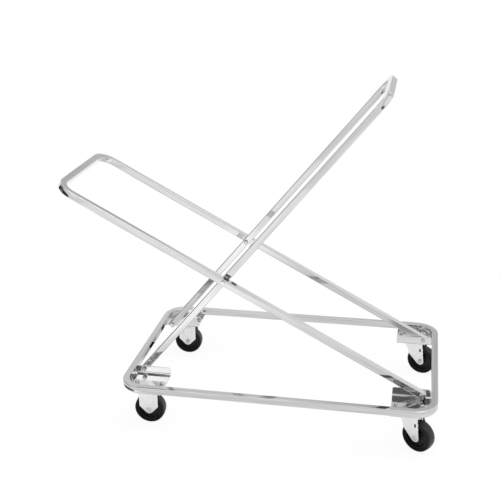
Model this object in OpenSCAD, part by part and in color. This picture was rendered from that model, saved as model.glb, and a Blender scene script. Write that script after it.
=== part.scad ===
// Stacking trolley of chromed square tube: a base frame on four castors, a tall handle loop and
// a reclined cradle loop that cross side by side and are bolted together.
// +X points to the pushing end, +Y to the right-hand side, +Z up, with the floor at zero.

/* [Base frame] */
// Length of the base frame over its end tubes
base_l = 1020; // [900:5:1200]
// Width of the base frame over its side tubes
base_w = 620; // [560:5:720]
// Outside size of the square tube
tube = 22; // [20:0.5:25]
// Wall thickness of the tube
tube_wall = 1.6; // [1:0.1:2.4]
// Rounding of the tube's long edges
tube_edge_r = 3; // [2.5:0.25:4]
// Bend radius of the base frame's corners, at the tube's centreline
base_bend_r = 66; // [50:1:80]
// Diameter of the plating vents under the base frame
vent_d = 6; // [4:0.5:8]

/* [Handle loop and cradle loop] */
// Slope of the handle loop from the floor
handle_angle = 50.2; // [44:0.1:58]
// Handle loop from its foot bolt to the outside of its crossbar
handle_len = 1219; // [1000:1:1300]
// Slope of the cradle loop from the floor
cradle_angle = 28.7; // [25:0.1:34]
// Cradle loop from its foot bolt to the outside of its crossbar
cradle_len = 1327; // [1200:1:1400]
// Bend radius of the loops' corners, at the tube's centreline
loop_bend_r = 50; // [40:1:70]
// Distance from a loop's foot bolt to the cut end of its rail
foot_over = 10.5; // [10:0.25:12]

/* [Corner pans] */
// Sheet thickness of a corner pan
pan_t = 3; // [2:0.5:4]
// Length of a pan's floor from the base frame's end
pan_l = 144; // [140:1:170]
// Width of a pan from the base frame's side to the inner face of its flange
pan_w = 131.5; // [126:0.5:140]
// Height of the flange above the pan's underside
flange_h = 31; // [29:0.5:36]
// Rounding of the flange's upper corners
flange_corner_r = 8; // [4:0.5:10]
// Inside radius of a rear pan's bend, tight because the cradle's foot sits in it
pan_bend_r = 4; // [3:0.5:4.5]
// Inside radius of a front pan's bend
front_bend_r = 8.5; // [4:0.5:8.5]
// Foot bolt's distance from the base frame's end
foot_inset = 52; // [46:1:60]
// Foot bolt's height above the pan's underside
foot_h = 19.5; // [19:0.25:21]

/* [Castors] */
// Height of a castor from the floor to the top of its plate
castor_h = 134; // [128:0.5:140]
// Distance of a castor's centre from the base frame's end
castor_inset_x = 89; // [86:0.5:94]
// Distance of a castor's centre from the base frame's side
castor_inset_y = 64.5; // [58:0.5:68]
// Length of the castor plate
plate_l = 108; // [104:1:112]
// Width of the castor plate
plate_w = 60; // [54:1:66]
// Thickness of the castor plate
plate_t = 3; // [2.5:0.25:4]
// Distance between the two fixing bolts of a plate
bolt_pitch = 84; // [82:0.5:86]
// Sheet thickness of a castor's fork
fork_t = 2.5; // [2:0.25:3]
// Rounding of a fork leg round the axle
fork_tip_r = 14; // [12:0.5:16]
// Width of a fixed castor's fork leg
fixed_leg_w = 63; // [60:1:70]
// Trail of a swivel castor's axle behind its king pin
trail = 40; // [36:0.5:44]
// Turn of the left swivel castor as it stands
left_turn = -32; // [-180:1:180]
// Turn of the right swivel castor as it stands
right_turn = -21; // [-180:1:180]

/* [Wheels] */
// Outside diameter of the tyre
wheel_d = 102; // [95:1:104]
// Width of the tyre
tyre_w = 36; // [32:0.5:38]
// Depth of the rubber from the tread to its seat on the core
tyre_depth = 11; // [8:0.5:14]
// Rounding of the tyre's shoulders
shoulder_r = 5; // [3:0.5:7]
// Outside diameter of the sleeve that the wheel runs on
sleeve_d = 12; // [11:0.5:14]
// Clearance between wheel core and sleeve, and between king pin and fork, on the radius
run_gap = 0.05; // [0.02:0.01:0.1]

/* [Fasteners] */
// Thread diameter of all bolts and axles
bolt_d = 8; // [7:0.5:8]
// Width of the hexagons across their flats
hex_af = 13; // [12:0.5:13]
// Height of a bolt head
head_h = 5.5; // [4.5:0.25:6]
// Height of a nut
nut_h = 6.5; // [5:0.25:7]
// Diameter of the washers
washer_d = 16; // [15:0.5:17]
// Thickness of the washers
washer_t = 1.6; // [1:0.1:2]
// Clearance of a bolt in its hole, on the radius
hole_gap = 0.25; // [0.15:0.05:0.4]

/* [Hidden] */
$fn = 64;
hex_sides = 6;
quarter = 90;
// Overrun of every cut past the face that it opens
cut = 1;
// Thread that shows past a nut, and the nut's clearance on it
thread_end = 2.5;
thread_gap = 0.05;
bolt_hole_d = bolt_d + 2 * hole_gap;
hex_d = hex_af / cos(180 / hex_sides);

// Heights from the floor
pan_z = castor_h;
base_z = castor_h + pan_t + tube / 2;
foot_z = castor_h + foot_h;
axle_z = wheel_d / 2;

// Pan layout, from the middle of the base frame
flange_y = base_w / 2 - pan_w;
pan_edge_x = base_l / 2 - pan_l;
weld_inset = 3;
flange_end_gap = 1;
flange_end_x = base_l / 2 - tube - flange_end_gap;
pan_corner_r = base_bend_r + tube / 2 - weld_inset;
foot_x = base_l / 2 - foot_inset;
castor_x = base_l / 2 - castor_inset_x;
castor_y = base_w / 2 - castor_inset_y;

// Loop layout: the handle rails lie against the flanges' inner faces, the cradle rails against the outer
handle_half_w = flange_y;
cradle_half_w = flange_y + pan_t + tube;
crossing_span = 2 * foot_x / sin(handle_angle + cradle_angle);
handle_crossing = crossing_span * sin(cradle_angle);
cradle_crossing = crossing_span * sin(handle_angle);
crossing_x = foot_x - cradle_crossing * cos(cradle_angle);
crossing_z = foot_z + cradle_crossing * sin(cradle_angle);
spacer_d = 20;

// The origin lies below the middle of the whole trolley, which the cradle carries past the base frame
cradle_edge = (tube / 2 - tube_edge_r) * (cos(cradle_angle) + sin(cradle_angle)) + tube_edge_r;
cradle_reach = (cradle_len - tube / 2) * cos(cradle_angle) - foot_x + cradle_edge;
base_x = (cradle_reach - base_l / 2) / 2;

// Wheel and fork layout
wheel_gap = 1;
sleeve_play = 0.5;
sleeve_l = tyre_w + 2 * wheel_gap;
hub_l = sleeve_l - 2 * sleeve_play;
leg_in = sleeve_l / 2;
leg_out = leg_in + fork_t;
hub_d = 26;
web_t = 8;
rim_t = 4.5;
rim_inset = 3.5;
rim_w = tyre_w - 2 * rim_inset;
tread_crown_r = 70;
sidewall_ring_d = 84;
sidewall_ring_w = 1.2;
axle_head_d = 17;
axle_head_h = 3.2;
core_r = wheel_d / 2 - tyre_depth;

// Where a leg's straight edges run into the round of its tip, as a share of the tip's radius
tip_seat_share = 0.95;

// Fixed fork: the leg is flared under the plate and carries a pressed tongue with a round end
plate_corner_r = 8;
leg_flare_w = 82;
leg_flare_drop = 22;
leg_flare_z = castor_h - leg_flare_drop;
leg_shoulder_rise = 12;
leg_shoulder_z = axle_z + leg_shoulder_rise;
leg_gusset = 3;
tongue_r = 16;
tongue_h = 1.5;
tongue_rise = 32;
tongue_z = axle_z + tongue_rise;
tongue_l = leg_flare_z - tongue_z;

// Swivel head: a dished plate over a ring of balls in the crown of the fork
dish_depth = 4.5;
dish_floor_r = 16.5;
dish_rim_r = dish_floor_r + dish_depth;
ball_r = 3;
ball_gap = 0.1;
race_gap = 0.2;
ball_ring_r = dish_rim_r + plate_t / 2 - ball_gap - ball_r + sqrt(2) * (ball_r + race_gap);
ball_count = floor(180 / asin((ball_r + ball_gap) / ball_ring_r));
crown_t = 3;
crown_lip_t = 2.4;
crown_lip_drop = 3;
pin_d = 10;
pin_head_d = 18;
pin_head_h = 3;
pin_play = 0.3;
plate_z = castor_h - plate_t;
ball_z = plate_z - ball_gap - ball_r;
crown_z = ball_z - ball_r - ball_gap;
crown_lip_r = ball_ring_r + ball_r + ball_gap;
swivel_front = 32;
swivel_rear = 45;
swivel_gusset = 8;
swivel_waist_x = -10;
swivel_waist_rise = 45;
swivel_waist_z = axle_z + swivel_waist_rise;
swivel_knee_x = -2;
swivel_knee_rise = 22;
swivel_knee_z = axle_z + swivel_knee_rise;
slot_w = 5;
slot_h = 12.5;
slot_inset = 1;
slot_rise = 43;
slot_x = trail - slot_inset;
slot_z = axle_z + slot_rise;

// Point where the line from p touches the circle of radius r round c, on the side that turn gives
function touch(p, c, r, turn) =
    let (d = norm(p - c), a = atan2(p[1] - c[1], p[0] - c[0]) + turn * acos(r / d))
    c + r * [cos(a), sin(a)];

// Square of one size with its corners rounded
module rounded_square(size, r) {
    square([size, size - 2 * r], center = true);
    square([size - 2 * r, size], center = true);
    for (x = [-1, 1], y = [-1, 1])
        translate([x * (size / 2 - r), y * (size / 2 - r)])
            circle(r);
}

// Rectangle with its corners rounded
module rounded_plate(l, w, r) {
    square([l, w - 2 * r], center = true);
    square([l - 2 * r, w], center = true);
    for (x = [-1, 1], y = [-1, 1])
        translate([x * (l / 2 - r), y * (w / 2 - r)])
            circle(r);
}

// Section of the hollow square tube
module tube_section() {
    difference() {
        rounded_square(tube, tube_edge_r);
        rounded_square(tube - 2 * tube_wall, max(tube_edge_r - tube_wall, tube_wall / 4));
    }
}

// Straight tube along +X
module tube_run(length) {
    rotate([0, quarter, 0])
        linear_extrude(length)
            tube_section();
}

// Quarter bend round Z, from +X to +Y
module tube_bend(r) {
    rotate_extrude(angle = quarter)
        translate([r, 0])
            tube_section();
}

// Six-sided prism
module hexagon(h) {
    cylinder(d = hex_d, h = h, $fn = hex_sides);
}

// Bolt along +Z from the underside of its head, with the head below zero
module bolt(grip) {
    translate([0, 0, -head_h])
        hexagon(head_h);
    cylinder(d = bolt_d, h = grip + nut_h + thread_end);
}

// Nut on +Z, bored for the bolt
module nut() {
    difference() {
        hexagon(nut_h);
        translate([0, 0, -cut])
            cylinder(d = bolt_d + 2 * thread_gap, h = nut_h + 2 * cut);
    }
}

// Flat ring on +Z
module ring(outer_d, inner_d, h) {
    difference() {
        cylinder(d = outer_d, h = h);
        translate([0, 0, -cut])
            cylinder(d = inner_d, h = h + 2 * cut);
    }
}

// Shifts a child from the middle of the base frame to the origin's frame
module on_trolley() {
    translate([base_x, 0, 0])
        children();
}

// Puts a child that is drawn for the rear right corner into the corner that the two signs give
module in_corner(end, side) {
    on_trolley()
        mirror([end < 0 ? 1 : 0, 0, 0])
            mirror([0, side < 0 ? 1 : 0, 0])
                children();
}

// Base frame: a closed ring of tube with bent corners and vents in its underside
module base_frame() {
    half_x = (base_l - tube) / 2;
    half_y = (base_w - tube) / 2;
    run_x = 2 * (half_x - base_bend_r);
    run_y = 2 * (half_y - base_bend_r);
    color("silver")
        on_trolley()
            translate([0, 0, base_z])
                difference() {
                    union() {
                        for (s = [-1, 1]) {
                            translate([-run_x / 2, s * half_y, 0])
                                tube_run(run_x);
                            translate([s * half_x, -run_y / 2, 0])
                                rotate([0, 0, quarter])
                                    tube_run(run_y);
                        }
                        for (i = [0:3])
                            rotate([0, 0, i * quarter])
                                translate(i % 2 == 0 ? [run_x / 2, run_y / 2, 0] : [run_y / 2, run_x / 2, 0])
                                    tube_bend(base_bend_r);
                    }
                    for (s = [-1, 1]) {
                        translate([0, s * half_y, -tube / 2 - cut])
                            cylinder(d = vent_d, h = tube_wall + 2 * cut);
                        translate([s * half_x, 0, -tube / 2 - cut])
                            cylinder(d = vent_d, h = tube_wall + 2 * cut);
                    }
                }
}

// Outline of a pan's floor, from the bend line to the welds under the tubes
module pan_floor_outline(bend_r) {
    start_y = flange_y + pan_t + bend_r;
    end_x = base_l / 2 - weld_inset;
    end_y = base_w / 2 - weld_inset;
    translate([pan_edge_x, start_y])
        square([end_x - pan_edge_x - pan_corner_r, end_y - start_y]);
    translate([pan_edge_x, start_y])
        square([end_x - pan_edge_x, end_y - start_y - pan_corner_r]);
    translate([end_x - pan_corner_r, end_y - pan_corner_r])
        circle(pan_corner_r);
}

// Outline of the upright flange, with X along the base frame and Y upwards from the bend
module flange_outline(h) {
    length = flange_end_x - pan_edge_x;
    square([length, h - flange_corner_r]);
    translate([flange_corner_r, 0])
        square([length - 2 * flange_corner_r, h]);
    for (x = [flange_corner_r, length - flange_corner_r])
        translate([x, h - flange_corner_r])
            circle(flange_corner_r);
}

// Corner pan for the rear right corner: a floor welded under the tubes and a flange bent up
module corner_pan(bend_r) {
    bend_out = bend_r + pan_t;
    length = flange_end_x - pan_edge_x;
    difference() {
        union() {
            translate([0, 0, pan_z])
                linear_extrude(pan_t)
                    pan_floor_outline(bend_r);
            translate([pan_edge_x, flange_y + bend_out, pan_z + bend_out])
                rotate([quarter, 0, quarter])
                    linear_extrude(length)
                        intersection() {
                            difference() {
                                circle(bend_out);
                                circle(bend_r);
                            }
                            translate([-bend_out, -bend_out])
                                square(bend_out);
                        }
            translate([pan_edge_x, flange_y + pan_t, pan_z + bend_out])
                rotate([quarter, 0, 0])
                    linear_extrude(pan_t)
                        flange_outline(flange_h - bend_out);
        }
        for (s = [-1, 1])
            translate([castor_x + s * bolt_pitch / 2, castor_y, pan_z - cut])
                cylinder(d = bolt_hole_d, h = pan_t + 2 * cut);
        translate([foot_x, flange_y - cut, foot_z])
            rotate([-quarter, 0, 0])
                cylinder(d = bolt_hole_d, h = pan_t + 2 * cut);
    }
}

module front_left_pan() { color("silver") in_corner(-1, -1) corner_pan(front_bend_r); }
module front_right_pan() { color("silver") in_corner(-1, 1) corner_pan(front_bend_r); }
module rear_left_pan() { color("silver") in_corner(1, -1) corner_pan(pan_bend_r); }
module rear_right_pan() { color("silver") in_corner(1, 1) corner_pan(pan_bend_r); }

// U-shaped loop in the XY plane: foot bolts at zero, crossbar at +X, holes across both rails
module tube_loop(length, half_w, holes) {
    rail_y = half_w - tube / 2;
    bend_x = length - tube / 2 - loop_bend_r;
    bend_y = rail_y - loop_bend_r;
    difference() {
        union() {
            for (s = [-1, 1])
                translate([-foot_over, s * rail_y, 0])
                    tube_run(bend_x + foot_over);
            translate([bend_x, bend_y, 0])
                tube_bend(loop_bend_r);
            translate([bend_x, -bend_y, 0])
                rotate([0, 0, -quarter])
                    tube_bend(loop_bend_r);
            translate([bend_x + loop_bend_r, -bend_y, 0])
                rotate([0, 0, quarter])
                    tube_run(2 * bend_y);
        }
        for (x = holes, s = [-1, 1])
            translate([x, s * rail_y - tube / 2 - cut, 0])
                rotate([-quarter, 0, 0])
                    cylinder(d = bolt_hole_d, h = tube + 2 * cut);
    }
}

// Handle loop: rises from the front feet over the base frame to the pushing end
module handle_loop() {
    color("silver")
        on_trolley()
            translate([-foot_x, 0, foot_z])
                rotate([0, -handle_angle, 0])
                    tube_loop(handle_len, handle_half_w, [0, handle_crossing]);
}

// Cradle loop: rises from the rear feet and reclines out past the front of the base frame
module cradle_loop() {
    color("silver")
        on_trolley()
            translate([foot_x, 0, foot_z])
                rotate([0, cradle_angle - 180, 0])
                    tube_loop(cradle_len, cradle_half_w, [0, cradle_crossing]);
}

// Places a child on both sides of the trolley: its +Z points outwards, from the distance y
module across(x, z, y) {
    on_trolley()
        for (s = [-1, 1])
            translate([x, s * y, z])
                rotate([-s * quarter, 0, 0])
                    children();
}

// Places a child on both sides of the trolley with its +Z pointing inwards, from the distance y
module inwards(x, z, y) {
    on_trolley()
        for (s = [-1, 1])
            translate([x, s * y, z])
                rotate([s * quarter, 0, 0])
                    children();
}

module handle_foot_bolts() { color("gainsboro") across(-foot_x, foot_z, flange_y - tube) bolt(tube + pan_t); }
module handle_foot_nuts() { color("gainsboro") across(-foot_x, foot_z, flange_y + pan_t) nut(); }
module cradle_foot_bolts() { color("gainsboro") inwards(foot_x, foot_z, cradle_half_w) bolt(tube + pan_t); }
module cradle_foot_nuts() { color("gainsboro") inwards(foot_x, foot_z, flange_y) nut(); }
module crossing_bolts() {
    color("gainsboro") inwards(crossing_x, crossing_z, cradle_half_w) bolt(2 * tube + pan_t);
}
module crossing_spacers() {
    color("gainsboro") across(crossing_x, crossing_z, flange_y) ring(spacer_d, bolt_hole_d, pan_t);
}
module crossing_nuts() { color("gainsboro") inwards(crossing_x, crossing_z, flange_y - tube) nut(); }

// Places a child at both fixing bolts of all four castors, at the height z
module at_castor_bolts(z) {
    on_trolley()
        for (end = [-1, 1], side = [-1, 1], s = [-1, 1])
            translate([end * castor_x + s * bolt_pitch / 2, side * castor_y, z])
                children();
}

module castor_bolts() { color("gainsboro") at_castor_bolts(plate_z) bolt(plate_t + pan_t + washer_t); }
module castor_washers() {
    color("gainsboro") at_castor_bolts(pan_z + pan_t) ring(washer_d, bolt_hole_d, washer_t);
}
module castor_nuts() { color("gainsboro") at_castor_bolts(pan_z + pan_t + washer_t) nut(); }

// Flat plate of a castor with its two bolt holes
module castor_plate() {
    difference() {
        linear_extrude(plate_t)
            rounded_plate(plate_l, plate_w, plate_corner_r);
        for (s = [-1, 1])
            translate([s * bolt_pitch / 2, 0, -cut])
                cylinder(d = bolt_hole_d, h = plate_t + 2 * cut);
    }
}

// Puts a leg that is drawn flat in XZ on both sides of the wheel, standing on the sleeve's ends
module both_legs() {
    for (s = [0, 1])
        mirror([0, s, 0])
            translate([0, leg_out, 0])
                rotate([quarter, 0, 0])
                    children();
}

// Leg of a fixed fork: straight sides, flared at the top, running to a rounded point at the axle
module fixed_leg_outline() {
    axle = [0, axle_z];
    shoulder = [fixed_leg_w / 2, leg_shoulder_z];
    tip = touch(shoulder, axle, fork_tip_r * tip_seat_share, -1);
    polygon([shoulder, [fixed_leg_w / 2, leg_flare_z], [leg_flare_w / 2, plate_z],
        [-leg_flare_w / 2, plate_z], [-fixed_leg_w / 2, leg_flare_z], [-shoulder[0], shoulder[1]],
        [-tip[0], tip[1]], tip]);
    translate(axle)
        circle(fork_tip_r);
}

// Pressed tongue: round lower end, straight sides upwards, from the half width a to b over the height h
module tongue(a, b, h, length) {
    cylinder(r1 = a, r2 = b, h = h);
    rotate([-quarter, 0, 0])
        linear_extrude(length)
            polygon([[-a, 0], [a, 0], [b, -h], [-b, -h]]);
}

// Fixed fork: plate and legs pressed from one sheet, a tongue in each leg
module fixed_fork() {
    difference() {
        union() {
            translate([0, 0, plate_z])
                castor_plate();
            both_legs()
                linear_extrude(fork_t)
                    fixed_leg_outline();
            both_legs()
                translate([0, tongue_z, -tongue_h])
                    tongue(tongue_r - tongue_h, tongue_r, tongue_h, tongue_l);
            for (s = [0, 1])
                mirror([0, s, 0])
                    translate([-leg_flare_w / 2, leg_out, plate_z])
                        rotate([quarter, 0, quarter])
                            linear_extrude(leg_flare_w)
                                polygon([[-fork_t, 0], [leg_gusset, 0], [0, -leg_gusset],
                                    [-fork_t, -leg_gusset]]);
        }
        both_legs()
            translate([0, tongue_z, fork_t - tongue_h])
                tongue(tongue_r - fork_t - tongue_h, tongue_r - fork_t, tongue_h + cut, tongue_l - fork_t);
        translate([0, -leg_out - tongue_h - cut, axle_z])
            rotate([-quarter, 0, 0])
                cylinder(d = bolt_hole_d, h = 2 * (leg_out + tongue_h + cut));
    }
}

// Leg of a swivel fork: broad under the crown, raked back to a rounded end at the axle
module swivel_leg_outline() {
    axle = [trail, axle_z];
    knee = [swivel_knee_x, swivel_knee_z];
    rear = [swivel_rear, crown_z - swivel_gusset];
    polygon([[-swivel_front, crown_z], [swivel_waist_x, swivel_waist_z], knee,
        touch(knee, axle, fork_tip_r * tip_seat_share, 1), axle,
        touch(rear, axle, fork_tip_r * tip_seat_share, -1), rear, [swivel_rear + swivel_gusset, crown_z]]);
    translate(axle)
        circle(fork_tip_r);
}

// Fork of a swivel castor, with its king pin on the Z axis
module swivel_fork() {
    difference() {
        union() {
            translate([0, 0, crown_z - crown_t])
                cylinder(r = crown_lip_r + crown_lip_t, h = crown_t);
            translate([0, 0, crown_z])
                ring(2 * (crown_lip_r + crown_lip_t), 2 * crown_lip_r, plate_z - crown_lip_drop - crown_z);
            translate([-swivel_front, -leg_out, crown_z - crown_t])
                cube([swivel_front + swivel_rear + swivel_gusset, 2 * leg_out, crown_t]);
            both_legs()
                linear_extrude(fork_t)
                    swivel_leg_outline();
        }
        translate([0, 0, crown_z - crown_t - cut])
            cylinder(d = pin_d + 2 * run_gap, h = crown_t + 2 * cut);
        translate([trail, -leg_out - cut, axle_z])
            rotate([-quarter, 0, 0])
                cylinder(d = bolt_hole_d, h = 2 * (leg_out + cut));
        translate([slot_x, -leg_out - cut, slot_z])
            rotate([-quarter, 0, 0])
                linear_extrude(2 * (leg_out + cut)) {
                    square([slot_w, slot_h - slot_w], center = true);
                    for (s = [-1, 1])
                        translate([0, s * (slot_h - slot_w) / 2])
                            circle(d = slot_w);
                }
    }
}

// Plate of a swivel castor, dished round the king pin
module swivel_plate() {
    wall = dish_rim_r - dish_floor_r;
    difference() {
        translate([0, 0, plate_z])
            castor_plate();
        translate([0, 0, plate_z - cut])
            cylinder(r = dish_rim_r, h = plate_t + 2 * cut);
    }
    translate([0, 0, plate_z])
        rotate_extrude()
            polygon([[pin_d / 2 + run_gap, -dish_depth], [dish_floor_r + plate_t / 2, -dish_depth],
                [dish_floor_r + plate_t / 2 + wall, 0], [dish_floor_r + plate_t / 2 + wall, plate_t],
                [dish_floor_r + wall, plate_t], [dish_floor_r, plate_t - dish_depth],
                [pin_d / 2 + run_gap, plate_t - dish_depth]]);
}

// King pin: a rivet in the dish with its lower head under the fork's crown
module king_pin() {
    top = plate_z + plate_t - dish_depth;
    low = crown_z - crown_t - pin_play;
    translate([0, 0, top])
        cylinder(d1 = pin_head_d, d2 = pin_head_d - pin_head_h, h = pin_head_h);
    translate([0, 0, low])
        cylinder(d = pin_d, h = top - low);
    translate([0, 0, low - pin_head_h])
        cylinder(d1 = pin_head_d - pin_head_h, d2 = pin_head_d, h = pin_head_h);
}

// Ring of balls between the plate and the crown
module ball_ring() {
    for (i = [0:ball_count - 1])
        rotate([0, 0, i * 360 / ball_count])
            translate([ball_ring_r, 0, ball_z])
                sphere(ball_r);
}

// Axle across the fork, with its round head on the outer side at +Y
module axle() {
    translate([0, leg_out, 0])
        rotate([-quarter, 0, 0])
            cylinder(d1 = axle_head_d, d2 = axle_head_d - axle_head_h, h = axle_head_h);
    translate([0, -leg_out - nut_h - thread_end, 0])
        rotate([-quarter, 0, 0])
            cylinder(d = bolt_d, h = 2 * leg_out + nut_h + thread_end);
}

// Nut of the axle, on its inner side
module axle_nut() {
    translate([0, -leg_out, 0])
        rotate([quarter, 0, 0])
            nut();
}

// Sleeve on the axle, clamped between the legs
module sleeve() {
    translate([0, -sleeve_l / 2, 0])
        rotate([-quarter, 0, 0])
            ring(sleeve_d, bolt_d + 2 * run_gap, sleeve_l);
}

// Core of the wheel: hub, web and rim turned about the axle
module wheel_core() {
    rotate([quarter, 0, 0])
        rotate_extrude()
            difference() {
                union() {
                    translate([0, -hub_l / 2])
                        square([hub_d / 2, hub_l]);
                    translate([0, -web_t / 2])
                        square([core_r, web_t]);
                    translate([core_r - rim_t, -rim_w / 2])
                        square([rim_t, rim_w]);
                }
                translate([0, -hub_l / 2 - cut])
                    square([sleeve_d / 2 + run_gap, hub_l + 2 * cut]);
            }
}

// Section of the tyre, right of the axle: crowned tread, rounded shoulders, a ring on each side
module tyre_section() {
    outer_r = wheel_d / 2;
    difference() {
        intersection() {
            union() {
                translate([core_r, -tyre_w / 2])
                    square([tyre_depth - shoulder_r, tyre_w]);
                translate([core_r, -tyre_w / 2 + shoulder_r])
                    square([tyre_depth, tyre_w - 2 * shoulder_r]);
                for (s = [-1, 1])
                    translate([outer_r - shoulder_r, s * (tyre_w / 2 - shoulder_r)])
                        circle(shoulder_r);
            }
            translate([outer_r - tread_crown_r, 0])
                circle(tread_crown_r);
        }
        for (s = [-1, 1])
            translate([sidewall_ring_d / 2, s * tyre_w / 2])
                circle(sidewall_ring_w);
    }
}

// Solid tyre moulded on the core
module tyre() {
    rotate([quarter, 0, 0])
        rotate_extrude()
            tyre_section();
}

// Puts a fixed castor's piece, drawn for the right side, under a front corner
module fixed_castor(side) {
    on_trolley()
        translate([-castor_x, side * castor_y, 0])
            mirror([0, side < 0 ? 1 : 0, 0])
                children();
}

// Puts a swivel castor's plate or pin under a rear corner
module swivel_seat(side) {
    on_trolley()
        translate([castor_x, side * castor_y, 0])
            children();
}

// Puts a swivel castor's turning piece, drawn for the right side, under a rear corner
module swivel_castor(side) {
    swivel_seat(side)
        rotate([0, 0, side < 0 ? left_turn : right_turn])
            mirror([0, side < 0 ? 1 : 0, 0])
                children();
}

// Axle height of a fixed castor's wheel
module at_fixed_axle(side) { fixed_castor(side) translate([0, 0, axle_z]) children(); }

// Axle of a swivel castor's wheel, behind the king pin
module at_swivel_axle(side) { swivel_castor(side) translate([trail, 0, axle_z]) children(); }

module front_left_fork() { color("lightgrey") fixed_castor(-1) fixed_fork(); }
module front_left_axle() { color("gainsboro") at_fixed_axle(-1) axle(); }
module front_left_axle_nut() { color("gainsboro") at_fixed_axle(-1) axle_nut(); }
module front_left_sleeve() { color("gainsboro") at_fixed_axle(-1) sleeve(); }
module front_left_wheel_core() { color("dimgrey") at_fixed_axle(-1) wheel_core(); }
module front_left_tyre() { color("black") at_fixed_axle(-1) tyre(); }
module front_right_fork() { color("lightgrey") fixed_castor(1) fixed_fork(); }
module front_right_axle() { color("gainsboro") at_fixed_axle(1) axle(); }
module front_right_axle_nut() { color("gainsboro") at_fixed_axle(1) axle_nut(); }
module front_right_sleeve() { color("gainsboro") at_fixed_axle(1) sleeve(); }
module front_right_wheel_core() { color("dimgrey") at_fixed_axle(1) wheel_core(); }
module front_right_tyre() { color("black") at_fixed_axle(1) tyre(); }
module rear_left_top_plate() { color("lightgrey") swivel_seat(-1) swivel_plate(); }
module rear_left_king_pin() { color("gainsboro") swivel_seat(-1) king_pin(); }
module rear_left_balls() { color("gainsboro") swivel_castor(-1) ball_ring(); }
module rear_left_fork() { color("lightgrey") swivel_castor(-1) swivel_fork(); }
module rear_left_axle() { color("gainsboro") at_swivel_axle(-1) axle(); }
module rear_left_axle_nut() { color("gainsboro") at_swivel_axle(-1) axle_nut(); }
module rear_left_sleeve() { color("gainsboro") at_swivel_axle(-1) sleeve(); }
module rear_left_wheel_core() { color("dimgrey") at_swivel_axle(-1) wheel_core(); }
module rear_left_tyre() { color("black") at_swivel_axle(-1) tyre(); }
module rear_right_top_plate() { color("lightgrey") swivel_seat(1) swivel_plate(); }
module rear_right_king_pin() { color("gainsboro") swivel_seat(1) king_pin(); }
module rear_right_balls() { color("gainsboro") swivel_castor(1) ball_ring(); }
module rear_right_fork() { color("lightgrey") swivel_castor(1) swivel_fork(); }
module rear_right_axle() { color("gainsboro") at_swivel_axle(1) axle(); }
module rear_right_axle_nut() { color("gainsboro") at_swivel_axle(1) axle_nut(); }
module rear_right_sleeve() { color("gainsboro") at_swivel_axle(1) sleeve(); }
module rear_right_wheel_core() { color("dimgrey") at_swivel_axle(1) wheel_core(); }
module rear_right_tyre() { color("black") at_swivel_axle(1) tyre(); }

base_frame();
front_left_pan();
front_right_pan();
rear_left_pan();
rear_right_pan();
handle_loop();
cradle_loop();
handle_foot_bolts();
handle_foot_nuts();
cradle_foot_bolts();
cradle_foot_nuts();
crossing_bolts();
crossing_spacers();
crossing_nuts();
castor_bolts();
castor_washers();
castor_nuts();
front_left_fork();
front_left_axle();
front_left_axle_nut();
front_left_sleeve();
front_left_wheel_core();
front_left_tyre();
front_right_fork();
front_right_axle();
front_right_axle_nut();
front_right_sleeve();
front_right_wheel_core();
front_right_tyre();
rear_left_top_plate();
rear_left_king_pin();
rear_left_balls();
rear_left_fork();
rear_left_axle();
rear_left_axle_nut();
rear_left_sleeve();
rear_left_wheel_core();
rear_left_tyre();
rear_right_top_plate();
rear_right_king_pin();
rear_right_balls();
rear_right_fork();
rear_right_axle();
rear_right_axle_nut();
rear_right_sleeve();
rear_right_wheel_core();
rear_right_tyre();
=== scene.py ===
"""Looks of the stacking trolley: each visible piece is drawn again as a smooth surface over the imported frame.

Lengths are in millimetres from the middle of the base frame, with the floor at zero; draw() turns them into
metres in the frame's own place. Every shape is a function of two parameters on a grid.
"""
from itertools import product
from math import acos, asin, atan2, cos, degrees, hypot, pi, radians, sin, sqrt, tan

import bpy
import numpy as np
from mathutils import Matrix, Vector


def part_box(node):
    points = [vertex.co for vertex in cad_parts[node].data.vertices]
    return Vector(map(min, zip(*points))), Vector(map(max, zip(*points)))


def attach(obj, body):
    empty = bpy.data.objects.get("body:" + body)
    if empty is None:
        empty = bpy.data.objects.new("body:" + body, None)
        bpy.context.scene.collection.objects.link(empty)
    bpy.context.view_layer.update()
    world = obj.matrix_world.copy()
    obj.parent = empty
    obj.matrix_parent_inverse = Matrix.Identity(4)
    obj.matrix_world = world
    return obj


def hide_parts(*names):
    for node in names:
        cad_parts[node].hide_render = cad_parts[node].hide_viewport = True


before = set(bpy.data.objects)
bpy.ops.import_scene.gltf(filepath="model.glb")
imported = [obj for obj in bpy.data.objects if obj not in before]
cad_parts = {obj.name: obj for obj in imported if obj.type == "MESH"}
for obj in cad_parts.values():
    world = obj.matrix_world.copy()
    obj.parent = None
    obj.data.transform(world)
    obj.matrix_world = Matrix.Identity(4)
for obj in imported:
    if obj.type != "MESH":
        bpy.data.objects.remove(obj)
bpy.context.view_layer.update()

MM = 0.001  # one millimetre in metres
QUARTER = pi / 2
SIDES = ((-1, "left"), (1, "right"))

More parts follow.
